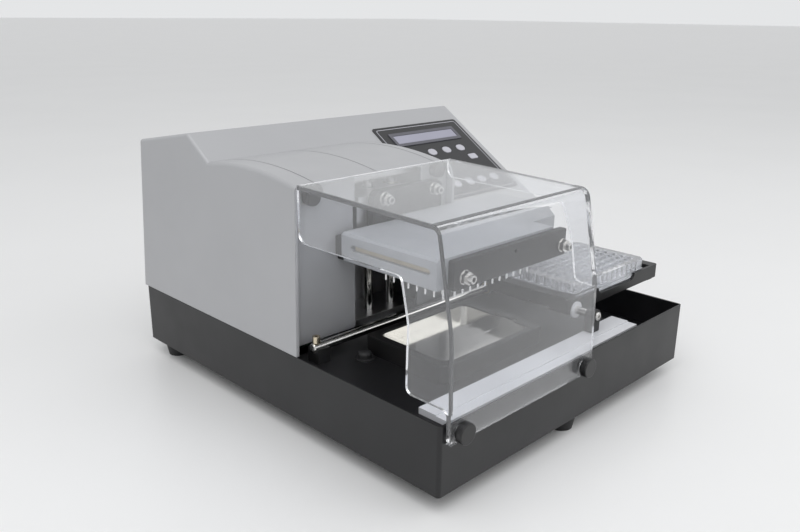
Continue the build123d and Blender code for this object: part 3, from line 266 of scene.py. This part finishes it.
def clear_sheet(name, tint, haze, rough, ior=1.49):
    """Clear plastic with a trace of haze. Light passes straight through it into the shadows."""
    clear = Surface(name, tint, rough)
    clear.setting(Transmission_Weight=1.0, IOR=ior)
    clear.scuff(60, rough * 0.6)
    veil = clear.add("ShaderNodeBsdfDiffuse")
    veil.inputs["Color"].default_value = (*HAZE_TONE, 1)
    hazy = clear.add("ShaderNodeMixShader")
    hazy.inputs[0].default_value = haze
    clear.link(clear.bsdf.outputs[0], hazy.inputs[1])
    clear.link(veil.outputs[0], hazy.inputs[2])
    path = clear.add("ShaderNodeLightPath")
    through = clear.add("ShaderNodeBsdfTransparent")
    through.inputs["Color"].default_value = (*SHADOW_TONE, 1)
    mix = clear.add("ShaderNodeMixShader")
    clear.link(path.outputs["Is Shadow Ray"], mix.inputs[0])
    clear.link(hazy.outputs[0], mix.inputs[1])
    clear.link(through.outputs[0], mix.inputs[2])
    clear.link(mix.outputs[0], clear.output.inputs["Surface"])
    return clear


def brushed(name, color, rough, scale):
    """Metal with fine lines along the short axis of scale."""
    metal = Surface(name, color, rough, 1.0)
    place = metal.stretched(scale)
    metal.mottle(900, 0.06, place)
    metal.scuff(1400, 0.07, place)
    metal.soften(0.3)
    return metal.grain(2200, 0.01, 0.15, place)


def make_materials():
    """Every finish of the machine, by name."""
    kit = {}
    kit["housing"] = Surface("housing_silver", SILVER, 0.42, 0.25).mottle(9, 0.02).scuff(40, 0.04)
    kit["housing"].soften(1.6).grain(2600, 0.05, 0.12)
    # The front panel gets a darker copy of the housing silver: painted shade
    kit["panel"] = Surface("panel_silver_painted_shade", SILVER_WITH_PAINTED_SHADE, 0.45, 0.25).mottle(9, 0.02).scuff(40, 0.04)
    kit["panel"].soften(0.5).grain(2600, 0.05, 0.12)
    kit["coat"] = Surface("black_coat", BLACK_COAT, 0.38).mottle(30, 0.08).scuff(25, 0.05)
    kit["coat"].soften(0.8).grain(1500, 0.05, 0.18)
    kit["moulded"] = Surface("black_moulded", BLACK_MOULDED, 0.42).mottle(60, 0.1).scuff(30, 0.06)
    kit["moulded"].soften(0.5).grain(2500, 0.03, 0.15)
    kit["knob"] = Surface("black_knob", BLACK_MOULDED, 0.28).mottle(60, 0.1).soften(0.8)
    kit["rubber"] = Surface("black_rubber", RUBBER_BLACK, 0.6).mottle(80, 0.2)
    kit["rubber"].soften(0.5).grain(3000, 0.04, 0.3)
    kit["strip"] = Surface("white_strip", WHITE_STRIP, 0.16).mottle(20, 0.02).scuff(30, 0.05).soften(0.3)
    kit["key"] = Surface("key_grey", KEY_GREY, 0.4).mottle(60, 0.03).grain(3000, 0.02, 0.1)
    kit["overlay"] = Surface("overlay_black", OVERLAY_BLACK, 0.35).mottle(60, 0.06)
    kit["overlay"].grain(3500, 0.02, 0.15)
    kit["bezel"] = Surface("bezel_grey", BEZEL_GREY, 0.35).mottle(60, 0.06).soften(0.3)
    kit["lcd"] = Surface("lcd", LCD_TINT, 0.12).mottle(30, 0.03)
    kit["casting"] = Surface("casting_grey", CASTING, 0.5, 0.15).mottle(40, 0.04).scuff(60, 0.06)
    kit["casting"].soften(0.7).grain(1800, 0.06, 0.25)
    kit["steel"] = brushed("steel", STEEL, 0.22, (1, 6, 6))
    kit["polished"] = brushed("polished_steel", STEEL, 0.12, (0.05, 1, 1))
    kit["warm"] = brushed("warm_steel", WARM_STEEL, 0.22, (1, 1, 6))
    kit["liner"] = brushed("liner_steel", LINER_STEEL, 0.14, (1, 0.1, 1))
    kit["brass"] = brushed("brass", BRASS, 0.25, (1, 1, 0.2))
    kit["alloy"] = brushed("alloy", ALLOY, 0.35, (1, 1, 0.1))
    kit["tubes"] = brushed("tube_steel", TUBE_STEEL, 0.2, (1, 1, 0.1))
    kit["board"] = Surface("board", BOARD_GREEN, 0.4).mottle(200, 0.3).grain(600, 0.1, 0.3)
    kit["bar"] = Surface("slot_bar", BEIGE, 0.4).mottle(60, 0.06)
    kit["white"] = Surface("white_moulded", MOULDED_WHITE, 0.4).mottle(60, 0.03).soften(0.3)
    # The rear panel reuses the darker silver that paints in the front panel's shade
    kit["back"] = Surface("back_panel", SILVER_WITH_PAINTED_SHADE, 0.42, 0.2).mottle(30, 0.03)
    kit["back"].soften(0.3).grain(1500, 0.04, 0.15)
    kit["shield"] = clear_sheet("shield_clear", SHIELD_CLEAR, 0.05, 0.02)
    kit["plate"] = clear_sheet("plate_clear", PLATE_CLEAR, 0.16, 0.08, 1.45)
    kit["floor"] = Surface("floor", FLOOR_TONE, 0.35).mottle(3, 0.01)
    return {name: surface.material for name, surface in kit.items()}


def dress(material, *names):
    """A CAD node shows a finish."""
    for name in names:
        for place in nodes[name].material_slots:
            place.link = "OBJECT"
            place.material = material


def make_floor(material):
    """The pale floor that the machine stands on."""
    mesh = bpy.data.meshes.new("floor")
    far = FLOOR_REACH
    corners = [(-far, -far, 0), (far, -far, 0), (far, far, 0), (-far, far, 0)]
    mesh.from_pydata(corners, [], [(0, 1, 2, 3)])
    floor = bpy.data.objects.new("floor", mesh)
    mesh.materials.append(material)
    bpy.context.scene.collection.objects.link(floor)


def closed_band(first, count):
    """Faces of a closed band whose four loops of count points start at point number first."""
    faces = []
    for row in range(4):
        low = first + row * count
        high = first + (row + 1) % 4 * count
        for i in range(count):
            j = (i + 1) % count
            faces.append((low + i, high + i, high + j, low + j))
    return faces


def ring_mesh(name, places, inner_r, outer_r, height):
    """Small round rims, one at each place, as closed rings."""
    verts = []
    faces = []
    turns = [2 * pi * i / RIM_SIDES for i in range(RIM_SIDES)]
    for place in places:
        first = len(verts)
        for radius, up in ((inner_r, 0), (inner_r, height), (outer_r, height), (outer_r, 0)):
            verts += [place + Vector((radius * cos(turn), radius * sin(turn), up)) for turn in turns]
        faces += closed_band(first, RIM_SIDES)
    return new_piece(name, verts, faces)


def new_piece(name, verts, faces):
    """An object made of these points and faces, with its faces turned outwards."""
    mesh = bpy.data.meshes.new(name)
    mesh.from_pydata(verts, [], faces)
    shape = bmesh.new()
    shape.from_mesh(mesh)
    bmesh.ops.recalc_face_normals(shape, faces=shape.faces)
    shape.to_mesh(mesh)
    shape.free()
    piece = bpy.data.objects.new(name, mesh)
    bpy.context.scene.collection.objects.link(piece)
    return piece


def well_rims(material):
    """The moulded rim round each well of the plate."""
    low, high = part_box("microplate")
    middle = (low + high) / 2
    places = []
    for column in range(WELL_COLUMNS):
        for row in range(WELL_ROWS):
            x = middle.x + (column - (WELL_COLUMNS - 1) / 2) * WELL_PITCH
            y = middle.y + (row - (WELL_ROWS - 1) / 2) * WELL_PITCH
            places.append(Vector((x, y, high.z)))
    rims = ring_mesh("well_rims", places, WELL_RIM_INNER, WELL_RIM_OUTER, WELL_RIM_UP)
    rims.data.materials.append(material)
    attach(rims, "microplate")


def keypad_line(material):
    """The thin printed line just inside the edge of the keypad."""
    overlay = nodes["keypad_overlay"]
    normal = Vector((0, -sin(KEYPAD_SLOPE), cos(KEYPAD_SLOPE)))
    uphill = Vector((0, cos(KEYPAD_SLOPE), sin(KEYPAD_SLOPE)))
    points = [overlay.matrix_world @ v.co for v in overlay.data.vertices]
    top = max(p.dot(normal) for p in points)
    sides = [min(p.x for p in points), max(p.x for p in points)]
    ends = [min(p.dot(uphill) for p in points), max(p.dot(uphill) for p in points)]
    loops = []
    for inset in (LINE_INSET, LINE_INSET + LINE_WIDTH):
        corner_r = max(LINE_CORNER - inset, MM)
        loop = []
        for sx, sy, start in ((1, 1, 0), (0, 1, 1), (0, 0, 2), (1, 0, 3)):
            cx = sides[sx] + (1 - 2 * sx) * (inset + corner_r)
            cy = ends[sy] + (1 - 2 * sy) * (inset + corner_r)
            for step in range(CORNER_STEPS + 1):
                turn = (start + step / CORNER_STEPS) * pi / 2
                loop.append((cx + corner_r * cos(turn), cy + corner_r * sin(turn)))
        loops.append(loop)
    verts = []
    for loop, lift in ((loops[0], 0), (loops[0], LINE_UP), (loops[1], LINE_UP), (loops[1], 0)):
        verts += [Vector((x, 0, 0)) + uphill * y + normal * (top + lift) for x, y in loop]
    line = new_piece("keypad_line", verts, closed_band(0, len(loops[0])))
    line.data.materials.append(material)
    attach(line, "base")


place_camera()
light_world()
soft_lamp("key_lamp", KEY_LAMP_AT, KEY_LAMP_WATTS)
soft_lamp("fill_lamp", FILL_LAMP_AT, FILL_LAMP_WATTS)
looks = make_materials()
make_floor(looks["floor"])

keys = [name for name in nodes if "_key_" in name]
dress(looks["housing"], "housing_shell")
dress(looks["panel"], "front_panel")
dress(looks["back"], "rear_panel")
dress(looks["coat"], "base_pan", "deck_plate", "lift_motor")
dress(looks["moulded"], "prime_trough", "rod_brackets", "plate_carrier", "slide_shoe", "manifold_saddle")
dress(looks["moulded"], "manifold_front_plate", "power_inlet", "switch_frame", "switch_rocker")
dress(looks["knob"], "shield_knob_left", "shield_knob_right")
dress(looks["rubber"], "rubber_feet", "bumpers", "deck_plug")
dress(looks["strip"], "wear_strip", "outrigger_washer")
dress(looks["overlay"], "keypad_overlay")
dress(looks["bezel"], "display_bezel")
dress(looks["lcd"], "display_window")
dress(looks["key"], *keys)
dress(looks["casting"], "manifold_body")
dress(looks["bar"], "slot_bar")
dress(looks["steel"], "foot_screws", "line_fittings", "manifold_bolts", "outrigger_pin")
dress(looks["steel"], "shoe_screw", "serial_port")
dress(looks["polished"], "guide_rod", "lift_shafts", "lead_screw")
dress(looks["warm"], "rod_screws")
dress(looks["liner"], "trough_liner")
dress(looks["tubes"], "tube_plate")
dress(looks["brass"], "lift_bushings", "lift_nut", "carrier_bushings")
dress(looks["alloy"], "lift_column", "lift_carriage", "power_supply")
dress(looks["board"], "circuit_board")
dress(looks["white"], "hose_barbs")
dress(looks["shield"], "splash_shield")
dress(looks["plate"], "microplate")
well_rims(looks["plate"])
keypad_line(looks["key"])

bpy.context.scene.view_settings.view_transform = "Standard"
